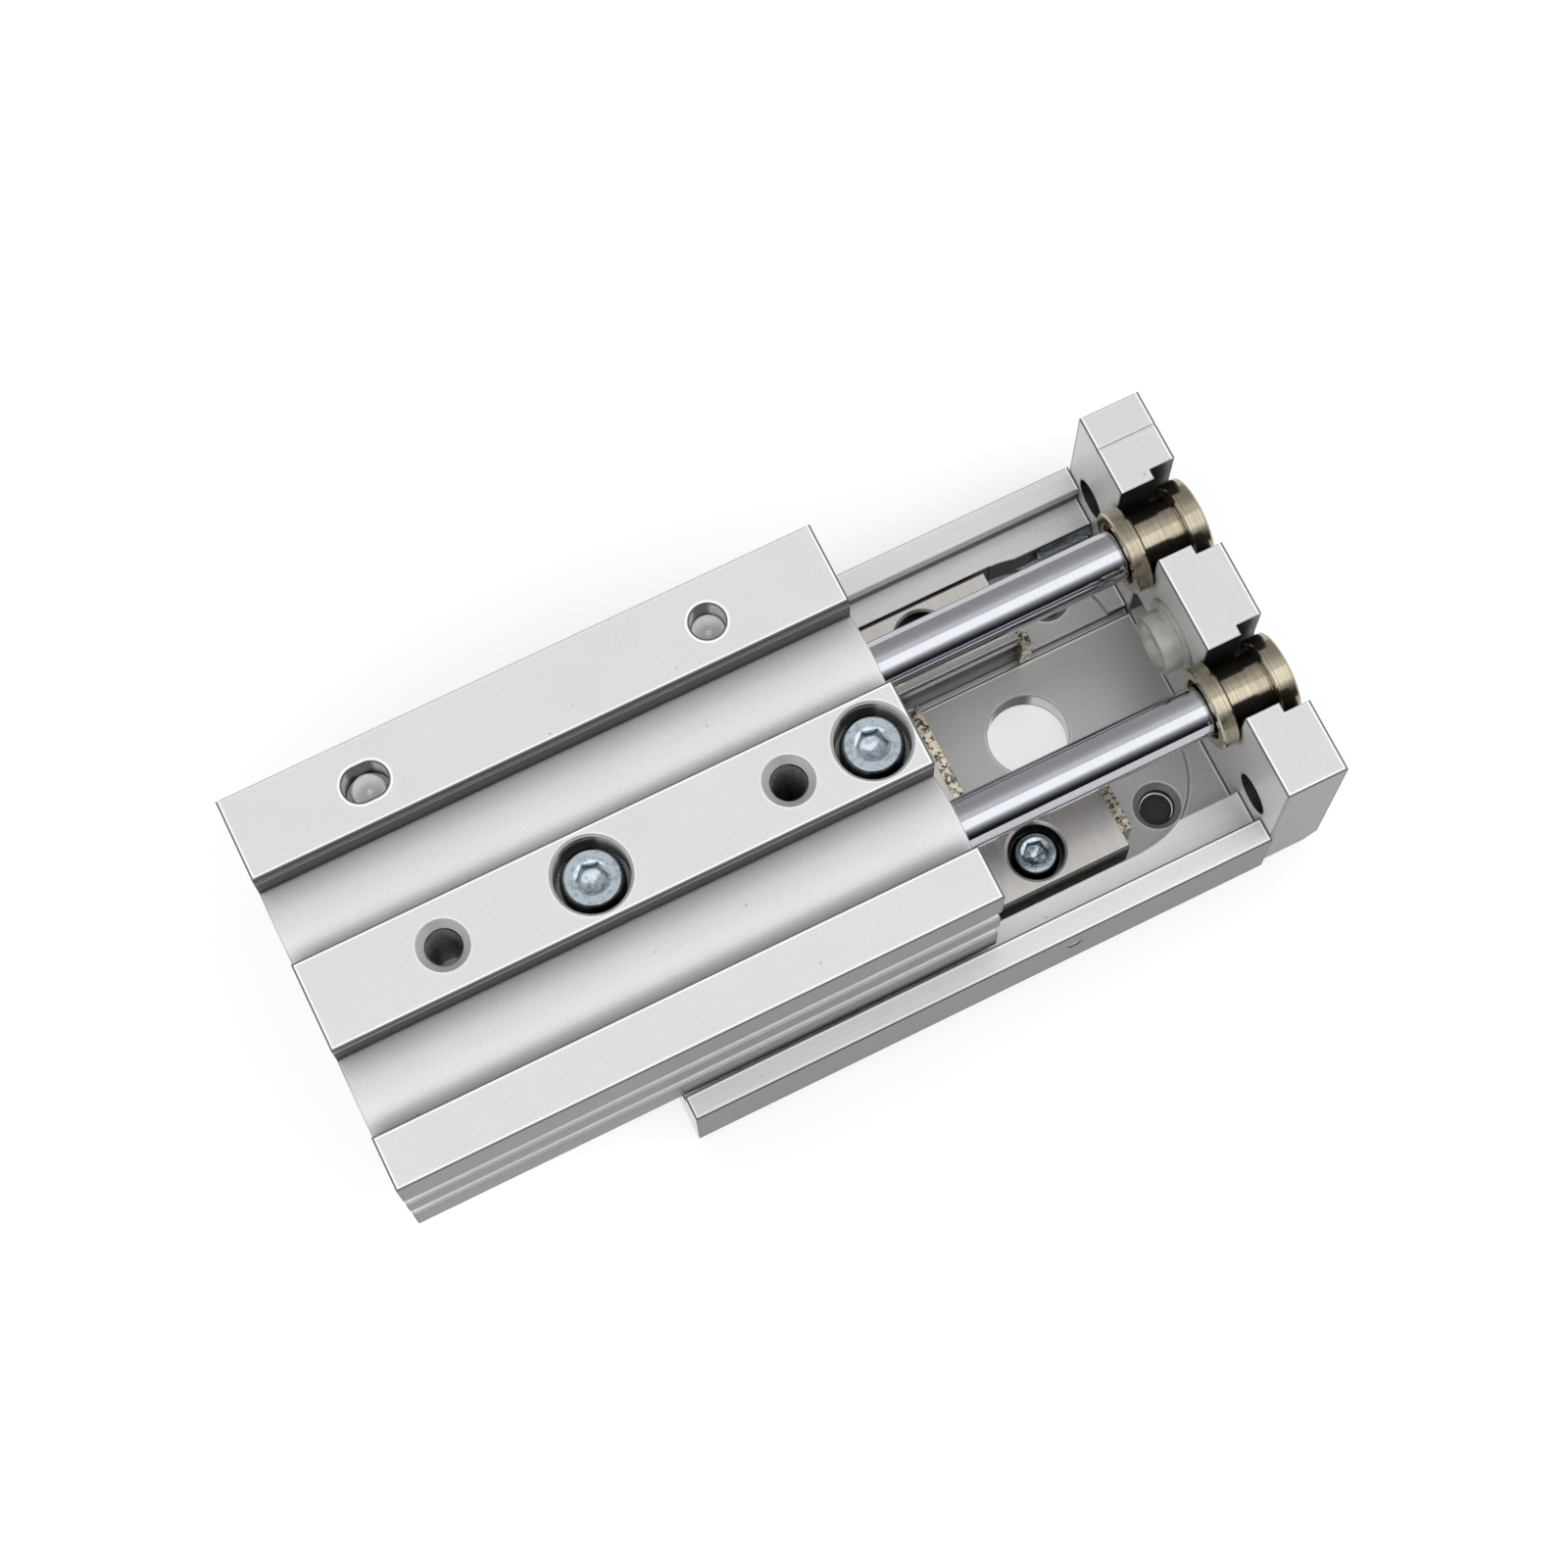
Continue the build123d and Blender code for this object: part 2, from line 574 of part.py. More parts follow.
# End plate: carries the rods in open slots and closes the end of the table
with BuildPart() as end_plate:
    with BuildSketch(Plane.YZ.offset(table_end_x)):
        with Locations((0, plate_foot_gap)):
            Rectangle(2 * plate_side_y, plate_height - plate_foot_gap, align=(Align.CENTER, Align.MIN))
    extrude(amount=plate_thickness)
    foot_edge = end_plate.edges().filter_by(Axis.Y).group_by(Axis.Z)[0].sort_by(Axis.X)[-1]
    chamfer(foot_edge, plate_foot_chamfer)
    pocket_x = plate_outer_x - bush_pocket_depth
    for slot_x, slot_width in ((table_end_x, bush_slot_width), (pocket_x, bush_pocket_width)):
        with BuildSketch(Plane.YZ.offset(slot_x)) as slots:
            with Locations((bore_y, bore_z), (-bore_y, bore_z)):
                Circle(slot_width / 2)
                Rectangle(slot_width, plate_height, align=(Align.CENTER, Align.MIN))
        extrude(slots.sketch, amount=plate_outer_x - slot_x, mode=Mode.SUBTRACT)
    cut_box((table_end_x, table_end_x + block_recess_depth),
            (-block_side_y - block_recess_clearance, block_side_y + block_recess_clearance),
            (floor_height, body_bottom_z + block_recess_headroom))
    line_y = plate_side_y - plate_line_inset
    cut_box((table_end_x, plate_outer_x), (line_y, line_y + plate_line_width),
            (plate_height - plate_line_depth, plate_height))
    inner_face = Plane.YZ.offset(table_end_x)
    outer_face = Plane.YZ.offset(plate_outer_x)
    extrude_disc(inner_face, (0, bumper_height), bumper_stem_diameter, bumper_socket_depth, Mode.SUBTRACT)
    for side in (1, -1):
        screw_place = (side * plate_screw_y, plate_screw_height)
        extrude_disc(inner_face, (side * adjuster_y, adjuster_height), adjuster_diameter,
                     plate_thickness, Mode.SUBTRACT)
        extrude_disc(inner_face, screw_place, m4_screw[0] + 2 * thread_clearance, plate_thickness,
                     Mode.SUBTRACT)
        extrude_disc(outer_face, screw_place, m4_screw[1] + head_clearance, -plate_counterbore_depth,
                     Mode.SUBTRACT)
        extrude_disc(outer_face, (side * plate_screw_y, plate_thread_height),
                     plate_thread_diameter, -plate_thread_depth, Mode.SUBTRACT)
save(end_plate, "end_plate")

with BuildPart() as end_plate_screws:
    for side in (1, -1):
        add_screw(Plane.YZ.offset(plate_outer_x - plate_counterbore_depth),
                  (side * plate_screw_y, plate_screw_height), m4_screw, plate_screw_length)
save(end_plate_screws, "end_plate_screws")

# Piston rods: run from the magnets through the pistons and glands into the bushes
with BuildPart() as piston_rods:
    turn(magnet_x, rod_end_x, rod_diameter)
    mirror(about=Plane.XZ)
save(piston_rods, "piston_rods")

# Floating bushes: a flange on each face of the end plate leaves the rods a little play
with BuildPart() as floating_bushes:
    turn(bush_front_x, bush_front_x + bush_flange_thickness, bush_flange_diameter)
    turn(bush_front_x + bush_flange_thickness, bush_head_x, bush_neck_diameter)
    turn(bush_head_x, bush_end_x, bush_flange_diameter)
    turn(bush_front_x, bush_front_x + bush_bore_depth, bush_bore, Mode.SUBTRACT)
    mirror(about=Plane.XZ)
save(floating_bushes, "floating_bushes")

# Pistons: each has a groove for its seal, and its magnet lies behind it
with BuildPart() as pistons:
    ring(piston_rear_x, piston_front_x, bore_diameter - 2 * running_clearance, rod_hole_diameter)
    ring(piston_seal_x, piston_seal_x + seal_width, bore_diameter, seal_groove_diameter, Mode.SUBTRACT)
    mirror(about=Plane.XZ)
save(pistons, "pistons")

with BuildPart() as piston_seals:
    ring(piston_seal_x, piston_seal_x + seal_width, bore_diameter - 2 * running_clearance,
         seal_groove_diameter)
    mirror(about=Plane.XZ)
save(piston_seals, "piston_seals")

with BuildPart() as piston_magnets:
    ring(magnet_x, piston_rear_x, bore_diameter - 2 * magnet_clearance, rod_hole_diameter)
    mirror(about=Plane.XZ)
save(piston_magnets, "piston_magnets")

# Bumper: a round cushion whose stem is held in the end plate
with BuildPart() as end_bumper:
    extrude_disc(Plane.YZ.offset(table_end_x), (0, bumper_height), bumper_diameter, -bumper_length)
    extrude_disc(Plane.YZ.offset(table_end_x), (0, bumper_height),
                 bumper_stem_diameter - 2 * housing_clearance, bumper_socket_depth - housing_clearance)
save(end_bumper, "end_bumper")
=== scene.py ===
# %% [markdown]
# # A pneumatic slide table
# This notebook dresses a finished CAD model of a small air-driven slide: an aluminium cylinder with two bores,
# which rides on crossed rollers inside a channel-shaped table. The CAD part gives every main shape and place.
# Here it gets its metals, its turned and knurled fasteners, its threads, a floor, soft light and a camera.

# %% Load the frame
import math
import bpy
from mathutils import Matrix, Vector


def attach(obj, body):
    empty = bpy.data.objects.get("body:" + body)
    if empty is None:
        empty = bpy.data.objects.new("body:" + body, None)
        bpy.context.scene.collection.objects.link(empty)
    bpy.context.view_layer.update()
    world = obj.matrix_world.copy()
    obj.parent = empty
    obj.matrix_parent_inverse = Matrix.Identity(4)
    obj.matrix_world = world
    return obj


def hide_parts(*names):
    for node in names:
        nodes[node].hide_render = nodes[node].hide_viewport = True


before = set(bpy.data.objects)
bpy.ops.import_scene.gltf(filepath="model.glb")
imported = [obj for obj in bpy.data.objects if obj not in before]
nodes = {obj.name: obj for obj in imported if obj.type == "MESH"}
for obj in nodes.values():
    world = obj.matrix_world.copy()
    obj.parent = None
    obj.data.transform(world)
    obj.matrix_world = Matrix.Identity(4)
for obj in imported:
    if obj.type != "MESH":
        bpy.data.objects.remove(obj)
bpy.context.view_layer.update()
mm = 0.001
table_end_x = 33.26      # where the end plate meets the table, in millimetres

# %% [markdown]
# ## Camera
# A photograph's view is four facts: where the camera stands, the point it looks at, how far it is rolled, and its
# focal length. The long lens stands high and a little to the rod side, so the slide lies across the picture.
# `to_track_quat` aims the camera, and a small turn about its own axis adds the roll of a hand-held shot.

# %% Camera at the photograph's view
camera_place = Vector((-57.4, -93.9, 394.9)) * mm
camera_aim = Vector((-13.64, 4.03, 16.0)) * mm
camera_roll = math.radians(-2.2)
camera_lens = 80.98

camera = bpy.data.objects.new("camera", bpy.data.cameras.new("camera"))
bpy.context.scene.collection.objects.link(camera)
aim_turn = (camera_aim - camera_place).to_track_quat("-Z", "Y").to_matrix()
camera.rotation_euler = (aim_turn @ Matrix.Rotation(camera_roll, 3, "Z")).to_euler()
camera.location = camera_place
camera.data.lens = camera_lens
camera.data.sensor_width = 36
camera.data.clip_start = 0.01
bpy.context.scene.camera = camera
print("camera distance:", round((camera_aim - camera_place).length, 3), "m")

# %% [markdown]
# ## Shader expressions
# A finish is a small tree of nodes. Written out socket by socket it is hard to read, so one class builds the
# nodes and another wraps an output socket, which lets `1 - mask * 0.4` add its Math nodes by itself.
# Every finish below is written with these two.

# %% Socket wrapper and finish builder
class Wire:
    """One output socket, which can stand in a Python expression."""

    def __init__(self, finish, socket):
        self.finish = finish
        self.socket = socket

    def maths(self, operation, *values):
        return self.finish.node("ShaderNodeMath", {"operation": operation}, dict(enumerate(values)))

    def __add__(self, other):
        return self.maths("ADD", self, other)

    def __radd__(self, other):
        return self.maths("ADD", other, self)

    def __sub__(self, other):
        return self.maths("SUBTRACT", self, other)

    def __rsub__(self, other):
        return self.maths("SUBTRACT", other, self)

    def __mul__(self, other):
        return self.maths("MULTIPLY", self, other)

    def __rmul__(self, other):
        return self.maths("MULTIPLY", other, self)

    def size(self):
        return self.maths("ABSOLUTE", self)

    def root(self):
        return self.maths("SQRT", self)

    def most(self, other):
        return self.maths("MAXIMUM", self, other)

    def near(self, places, reach):
        """1 within a reach of any of the places, and 0 elsewhere."""
        found = 0.0
        for place in places:
            found = (1 - (self - place).size().ramp(reach * 0.6, reach)).most(found)
        return found

    def ramp(self, low, high):
        """0 up to the low value, 1 from the high value on, and smooth between them."""
        settings = {"interpolation_type": "SMOOTHSTEP"}
        return self.finish.node("ShaderNodeMapRange", settings, {"Value": self, "From Min": low, "From Max": high})


class Finish:
    """A material, or the world, that is made node by node."""

    def __init__(self, name, owner=None):
        self.material = owner or bpy.data.materials.new(name)
        self.material.use_nodes = True
        self.tree = self.material.node_tree
        self.tree.nodes.clear()

    def node(self, kind, settings=None, sockets=None, out=0):
        made = self.tree.nodes.new(kind)
        for key, value in (settings or {}).items():
            setattr(made, key, value)
        for key, value in (sockets or {}).items():
            if isinstance(value, Wire):
                self.tree.links.new(value.socket, made.inputs[key])
            else:
                made.inputs[key].default_value = value
        return None if out is None else Wire(self, made.outputs[out])

    def place(self):
        """Where a point lies on the object at rest, in millimetres."""
        spot = self.node("ShaderNodeTexCoord", out="Object")
        return self.node("ShaderNodeVectorMath", {"operation": "SCALE"}, {0: spot, "Scale": 1 / mm})

    def stretched(self, spot, factors):
        return self.node("ShaderNodeVectorMath", {"operation": "MULTIPLY"}, {0: spot, 1: factors})

    def parts(self, vector):
        """The x, y and z of a vector."""
        split = self.node("ShaderNodeSeparateXYZ", None, {0: vector}).socket.node
        return [Wire(self, output) for output in split.outputs]

    def noise(self, spot, scale, detail=2.0, roughness=0.5):
        sockets = {"Vector": spot, "Scale": scale, "Detail": detail, "Roughness": roughness}
        return self.node("ShaderNodeTexNoise", None, sockets)

    def blend(self, factor, first, second):
        """A colour between two colours."""
        return self.node("ShaderNodeMix", {"data_type": "RGBA"}, {0: factor, 6: first, 7: second}, out=2)

    def rounded(self, radius):
        """The normal as if every edge were rounded by a radius in millimetres."""
        return self.node("ShaderNodeBevel", {"samples": 4}, {"Radius": radius * mm})

    def lean(self, rounded):
        """How far the rounded normal leans: 0 on flats and about 0.3 right at a square edge."""
        flat = self.node("ShaderNodeNewGeometry", out="Normal")
        turned = self.node("ShaderNodeVectorMath", {"operation": "DOT_PRODUCT"}, {0: rounded, 1: flat}, out="Value")
        return 1 - turned

    def edges(self, rounded, gain):
        """1 on edges and 0 on flats."""
        return (self.lean(rounded) * gain).ramp(0.0, 1.0)

    def open_air(self, reach):
        """1 where a surface is open and 0 deep in a crevice, looking around as far as a reach in millimetres."""
        return self.node("ShaderNodeAmbientOcclusion", {"samples": 4}, {"Distance": reach * mm}, out="AO")

    def bump(self, height, depth, normal):
        """A normal that is tilted by a height map whose full swing is a depth in millimetres."""
        return self.node("ShaderNodeBump", None, {"Height": height, "Distance": depth * mm, "Normal": normal})

    def surface(self, sockets):
        """End the tree in one principled shader and return the material."""
        shader = self.node("ShaderNodeBsdfPrincipled", None, sockets)
        self.node("ShaderNodeOutputMaterial", None, {"Surface": shader}, out=None)
        return self.material


def grey(level, warmth=0.0):
    """A grey, a little redder for a positive warmth and bluer for a negative one."""
    return (level * (1 + warmth), level, level * (1 - warmth), 1.0)


def wear(node, material):
    """Give a CAD node a finish."""
    for slot in nodes[node].material_slots:
        slot.material = material


def make_object(name, points, faces, material):
    """An object with one mesh and one finish. The points are in metres."""
    mesh = bpy.data.meshes.new(name)
    mesh.from_pydata(points, [], faces)
    mesh.materials.append(material)
    made = bpy.data.objects.new(name, mesh)
    bpy.context.scene.collection.objects.link(made)
    return made


print("shader and mesh helpers ready")

# %% [markdown]
# ## Floor and light
# The slide was photographed on white with large, soft lights. A matt plane is the floor. Bright metal mostly shows
# what it mirrors, so the surroundings matter more than a lamp's strength: a pale far side, a bright ceiling, and a
# dark room low on the near side, which gives the chromed rods their dark stripe. The ceiling draws the rods' bright
# line, and one broad lamp overhead evens out the top faces.

# %% Floor
floor_finish = Finish("floor_paper")
paper = floor_finish.noise(floor_finish.place(), 0.02)
floor_tone = floor_finish.blend(paper, grey(0.52), grey(0.50))
floor_material = floor_finish.surface({
    "Base Color": floor_tone, "Roughness": 0.9, "Emission Color": grey(1.0), "Emission Strength": 0.55})

floor_half = 3.0
floor_z = -0.02 * mm
floor_corners = [(x * floor_half, y * floor_half, floor_z) for x, y in ((-1, -1), (1, -1), (1, 1), (-1, 1))]
floor = make_object("floor", floor_corners, [(0, 1, 2, 3)], floor_material)
print("floor half width:", floor_half, "m")

# %% Surroundings and lights
pale = grey(1.0, -0.004)
dark_room = (0.012, 0.014, 0.024, 1.0)
sky = Finish("studio", bpy.data.worlds.new("studio"))
towards_x, towards_y, towards_z = sky.parts(sky.node("ShaderNodeTexCoord", out="Generated"))
nearer = 0 - towards_y
far_side = 0.47 + nearer.ramp(-0.85, -0.05) * 0.40
ceiling_light = nearer.ramp(-0.01, 0.03) * (1 - nearer.ramp(0.50, 0.75)) * towards_z.ramp(0.35, 0.70)
level = far_side + ceiling_light * 0.93
dimmed = nearer.ramp(0.55, 0.98) * (1 - towards_x.size().ramp(0.35, 0.60))
surroundings = sky.blend(dimmed, pale, dark_room)
background = sky.node("ShaderNodeBackground", None, {"Color": surroundings, "Strength": level})
sky.node("ShaderNodeOutputWorld", None, {"Surface": background}, out=None)
bpy.context.scene.world = sky.material
bpy.context.scene.view_settings.view_transform = "Standard"


def softbox(name, place, aim, width, length, radiance):
    """A rectangular light whose brightness is given as the level that a mirror would show."""
    light = bpy.data.lights.new(name, "AREA")
    light.shape = "RECTANGLE"
    light.size = width
    light.size_y = length
    light.energy = radiance * math.pi * width * length
    lamp = bpy.data.objects.new(name, light)
    lamp.location = place
    lamp.rotation_euler = (Vector(aim) - Vector(place)).to_track_quat("-Z", "Y").to_euler()
    bpy.context.scene.collection.objects.link(lamp)


slide_centre = (-0.01, 0.0, 0.02)
softbox("overhead_light", (0.10, 0.22, 0.85), slide_centre, 0.70, 0.30, 0.16)

# %% [markdown]
# ## Satin anodised aluminium
# The cylinder, table and end plate are machined, blasted and anodised. Close up that is a silver with a very fine
# grain and a few tiny dark pits. A bevel node rounds the normals at the edges, and the same rounding, compared with
# the flat normal, says where an edge is: there the top gets a painted highlight line, then a painted dark rim. The
# long straight arrises and the rims of the locating holes get such painted lines too, by their place. Sides, hollows
# and crevices get painted shade.

# %% Anodised finish
# The edge and rim lines below are painted highlight and painted shade.
bright_reach, dark_reach = 0.50, 0.24       # half widths of the drawn edge lines, in millimetres
rim_bright_at, rim_dark_at = 0.30, 0.06     # rim lines of a locating hole, outwards from its edge
channel_half_width, channel_top_z = 19.1, 7.2
table_wall_inner_y, table_wall_top_z, table_wall_shade_z = 22.05, 11.1, 9.4
groove_lip_z = 30.9
chamfer_slope = 0.707                       # the upward share of a 45 degree chamfer's normal
adjuster_y, adjuster_z, adjuster_reach = 19.6, 13.2, 2.7


def anodised(name, tone, shaded_side_tone, hollow_y, shaded_hollow_tone, metallic, edge_ys, edge_xs, edges_from_z, lines=0.0,
             channel_shade=0.0, mouths=(), side_line_zs=()):
    """Silver anodised aluminium with blast grain and, as far as `lines` asks, drawn lines along X.

    The outer sides get a darker painted shade of their own, walls nearer to the centre plane than `hollow_y` are
    painted dark as shade, and the floor of a channel gets painted shade, darker than the tops by `channel_shade`.
    Straight edges above a height are given by place, and so are the mouths of round and oblong holes, which get a
    painted highlight line and a thin painted dark rim, and the painted shade lines along the sides.
    """
    finish = Finish(name)
    spot = finish.place()
    along, across, up = finish.parts(spot)
    flat = finish.node("ShaderNodeNewGeometry", out="Normal")
    lean_x, lean_y, lean_z = finish.parts(flat)
    upward = lean_z.ramp(0.55, 0.80)
    sideways = lean_y.size().ramp(0.80, 0.95)
    hollow = 1 - across.size().ramp(hollow_y - 0.1, hollow_y + 0.1)
    inside = 1 - across.size().ramp(channel_half_width - 0.1, channel_half_width + 0.1)
    channel = inside * (1 - up.ramp(channel_top_z - 0.2, channel_top_z + 0.2)) * upward * channel_shade
    grain = finish.noise(spot, 4.5, 3.0, 0.7)
    cloud = finish.noise(spot, 0.12, 2.0)
    drawn = finish.noise(finish.stretched(spot, (0.03, 5.0, 5.0)), 1.0, 3.0, 0.6)
    pit = finish.node("ShaderNodeTexVoronoi", None, {"Vector": spot, "Scale": 0.30, "Randomness": 1.0})
    level = (cloud - 0.5) * 0.10 + (grain - 0.5) * 0.40 + (drawn - 0.5) * (1 - channel * 1.5) * lines + 0.5
    shade = finish.blend(level.ramp(0.0, 1.0), grey(tone * 0.74, 0.004), grey(tone * 1.20, 0.004))
    # Painted shade: sideways faces take the darker side tone, and walls in the hollows are painted almost black.
    painted_side_shade = finish.blend(level.ramp(0.0, 1.0), grey(shaded_side_tone * 0.70), grey(shaded_side_tone * 1.30))
    shade = finish.blend(sideways, shade, painted_side_shade)
    shade = finish.blend(sideways * hollow, shade, grey(shaded_hollow_tone))
    # Painted shade: the floor of the channel is darkened.
    shade = finish.blend(channel, shade, grey(tone * 0.25))
    shade = finish.blend((1 - pit.ramp(0.03, 0.05)) * 0.6, shade, grey(tone * 0.3))
    # Painted shade: crevices and inner corners, found by ambient occlusion, are darkened towards black.
    air = finish.open_air(1.0)
    shallow_painted_shade = (1 - air.ramp(0.25, 0.95)) * (1 - upward)
    deep_painted_shade = (1 - air.ramp(0.12, 0.42)) * upward
    shade = finish.blend((shallow_painted_shade + deep_painted_shade) * 0.9, shade, grey(0.03))
    # Painted highlight and shade at edges: a bright line on upward faces, a dark rim just inside it, and dark lines
    # on the edges of side faces.
    lean = finish.lean(finish.rounded(0.60))
    shade = finish.blend(lean.ramp(0.01, 0.04) * upward * 0.95, shade, grey(1.0))
    shade = finish.blend(lean.ramp(0.15, 0.24) * upward * 0.85, shade, grey(0.06))
    shade = finish.blend(lean.ramp(0.02, 0.10) * (1 - upward) * 0.85, shade, grey(0.03))
    # Painted highlight and shade along the long straight arrises, by place: a bright line with a dark line at the
    # edge.
    on_top = up.ramp(edges_from_z, edges_from_z + 0.1) * upward
    bright_line = across.near(edge_ys, bright_reach).most(along.near(edge_xs, bright_reach))
    dark_line = across.near(edge_ys, dark_reach).most(along.near(edge_xs, dark_reach))
    shade = finish.blend(bright_line * on_top * 0.9, shade, grey(1.0))
    shade = finish.blend(dark_line * on_top * 0.9, shade, grey(0.03))
    # Painted light: the upper part of the table wall's inner face is lighter, as if lit like its top; the painted
    # shade starts below it.
    below_top = 1 - up.ramp(table_wall_top_z + 0.1, table_wall_top_z + 0.3)
    beside_wall = across.size().ramp(table_wall_inner_y - 0.55, table_wall_inner_y - 0.25)
    upper_wall = up.ramp(table_wall_shade_z - 0.1, table_wall_shade_z + 0.1) * below_top * beside_wall
    shade = finish.blend(upper_wall * sideways * hollow * 0.9, shade, grey(tone * 0.8))
    # Painted shade lines along the sides, at the sensor slot lips and top edges.
    shade = finish.blend(up.near(side_line_zs, 0.28) * sideways * (1 - hollow) * 0.85, shade, grey(0.02))
    # Painted highlight: a thin light line along each groove wall at the lip's height.
    lip_line = up.near((groove_lip_z,), 0.16) * sideways * hollow
    shade = finish.blend(lip_line * 0.9, shade, grey(tone))
    # Painted highlight ring and painted shade ring round the mouth of each locating hole.
    for hole_x, hole_y, half_length, radius in mouths:
        reach_x = ((along - hole_x).size() - half_length).most(0.0)
        reach = (reach_x * reach_x + (across - hole_y) * (across - hole_y)).root() - radius
        shade = finish.blend(reach.near((rim_bright_at,), 0.22) * upward * 0.9, shade, grey(1.0))
        shade = finish.blend(reach.near((rim_dark_at,), 0.18) * upward * 0.9, shade, grey(0.04))
    # Painted shade: 45 degree chamfers are darkened.
    cone = lean_z.near((chamfer_slope,), 0.06)
    shade = finish.blend(cone * 0.45, shade, grey(0.10))
    # Painted shade: the walls of the end plate's adjuster holes are painted almost black.
    from_hole_y, from_hole_z = across.size() - adjuster_y, up - adjuster_z
    beside_hole = (from_hole_y * from_hole_y + from_hole_z * from_hole_z).root()
    in_plate = (1 - lean_x.size().ramp(0.3, 0.6)) * along.ramp(table_end_x - 0.26, table_end_x - 0.06)
    hole_wall = (1 - beside_hole.ramp(adjuster_reach - 0.1, adjuster_reach + 0.1)) * in_plate
    shade = finish.blend(hole_wall * 0.95, shade, grey(0.012))
    return finish.surface({
        "Base Color": shade, "Metallic": metallic, "Roughness": 0.38 + (grain - 0.5) * 0.10,
        "Normal": finish.bump(grain * 0.6 + drawn * lines, 0.012, flat)})


body_top_z = 32.0
body_threads_x = (-14.85, -55.6)
locating_y, locating_radius, locating_slot_half = 20.0, 2.0, 0.6
plate_face_xs = (table_end_x, 40.6)
body_edge_ys = (-21.7, -15.37, -15.12, -5.22, 5.22, 15.12, 15.37)
table_edge_ys = (-25.0, -22.05, -8.1, 8.1)
plate_edge_ys = (-24.5,)
slot_edge_zs = (15.75, 19.05, 22.25, 25.55)
anodised_body = anodised("anodised_body", 0.745, 0.14, 17.0, 0.06, 0.18, body_edge_ys, (-70.9, 0.0), 30.5, 0.06,
                         mouths=((body_threads_x[0], locating_y, 0.0, locating_radius),
                                 (body_threads_x[1], locating_y, locating_slot_half, locating_radius)),
                         side_line_zs=slot_edge_zs + (body_top_z,))
anodised_table = anodised("anodised_table", 0.76, 0.125, 22.5, 0.020, 0.50, table_edge_ys, (-38.74, table_end_x),
                          1.0, 0.32, 0.36, side_line_zs=(table_wall_top_z,))
anodised_plate = anodised("anodised_plate", 0.72, 0.22, 17.0, 0.025, 0.45, plate_edge_ys, plate_face_xs, 25.0)
wear("cylinder_body", anodised_body)
wear("slide_table", anodised_table)
wear("end_plate", anodised_plate)
print("edge lines of the body, table and plate:", len(body_edge_ys), len(table_edge_ys), len(plate_edge_ys))

# %% [markdown]
# ## Ground steel of the rails and the guide block
# The races are ground into hardened steel. It is warmer and darker than the aluminium, with fine lines across it
# and faint brown clouds where the bare steel has been handled.

# %% Ground steel
def ground_steel(name, tone, stretch):
    finish = Finish(name)
    spot = finish.place()
    rounded = finish.rounded(0.12)
    edge = finish.edges(rounded, 14.0)
    brushed = finish.noise(finish.stretched(spot, stretch), 1.0, 4.0, 0.65)
    cloud = finish.noise(spot, 0.25, 3.0, 0.6)
    stain = cloud.ramp(0.48, 0.75) * brushed.ramp(0.35, 0.75)
    shade = finish.blend(brushed, grey(tone * 0.72, 0.05), grey(tone * 1.18, 0.035))
    shade = finish.blend(stain * 0.5, shade, (tone * 0.72, tone * 0.60, tone * 0.46, 1.0))
    # Painted shade in crevices, such as the gap beside a rail, and a painted highlight on edges.
    crevice = 1 - finish.open_air(2.2).ramp(0.25, 0.85)
    shade = finish.blend(crevice * 0.92, shade, grey(0.02))
    shade = finish.blend(edge * 0.5, shade, grey(0.92))
    roughness = 0.30 + (brushed - 0.5) * 0.16
    return finish.surface({
        "Base Color": shade, "Metallic": 1.0, "Roughness": roughness,
        "Normal": finish.bump(brushed, 0.006, rounded)})


rail_steel = ground_steel("rail_steel", 0.55, (3.5, 0.15, 0.5))
for rail_node in ("rail_near", "rail_far", "guide_block"):
    wear(rail_node, rail_steel)
print("ground steel on the rails and the guide block")

# %% [markdown]
# ## Turned metals
# Rods, bushes, caps, glands and pistons all come off a lathe. A lathe leaves rings, so one function draws noise
# over the distance along the axis and the distance from it. Its settings make hard chrome, tan plating, brass.

# %% Turned finish
bore_y, bore_z = 10.17, 21.0


def turned(name, colour, dark, roughness, ring_scale, ring_depth, cloud_share=0.3):
    """Metal with fine rings about the nearer bore's axis."""
    finish = Finish(name)
    spot = finish.place()
    along, across, up = finish.parts(spot)
    offset_y = across.size() - bore_y
    offset_z = up - bore_z
    radius = (offset_y * offset_y + offset_z * offset_z).root()
    rings_at = finish.node("ShaderNodeCombineXYZ", None, {0: along, 1: radius, 2: 0.0})
    rings = finish.noise(rings_at, ring_scale, 3.0, 0.6)
    cloud = finish.noise(spot, 0.4, 3.0)
    rounded = finish.rounded(0.10)
    edge = finish.edges(rounded, 12.0)
    mixed = (rings - 0.5) * (1 - cloud_share) + (cloud - 0.5) * cloud_share + 0.5
    shade = finish.blend(mixed.ramp(0.3, 0.7), dark, colour)
    # Painted highlight: edges are drawn in a brighter colour.
    shade = finish.blend(edge * 0.45, shade, tuple(min(1.0, 1.5 * level) for level in colour[:3]) + (1.0,))
    return finish.surface({
        "Base Color": shade, "Metallic": 1.0, "Roughness": (rings - 0.5) * 0.12 + roughness,
        "Normal": finish.bump(rings, ring_depth, rounded)})


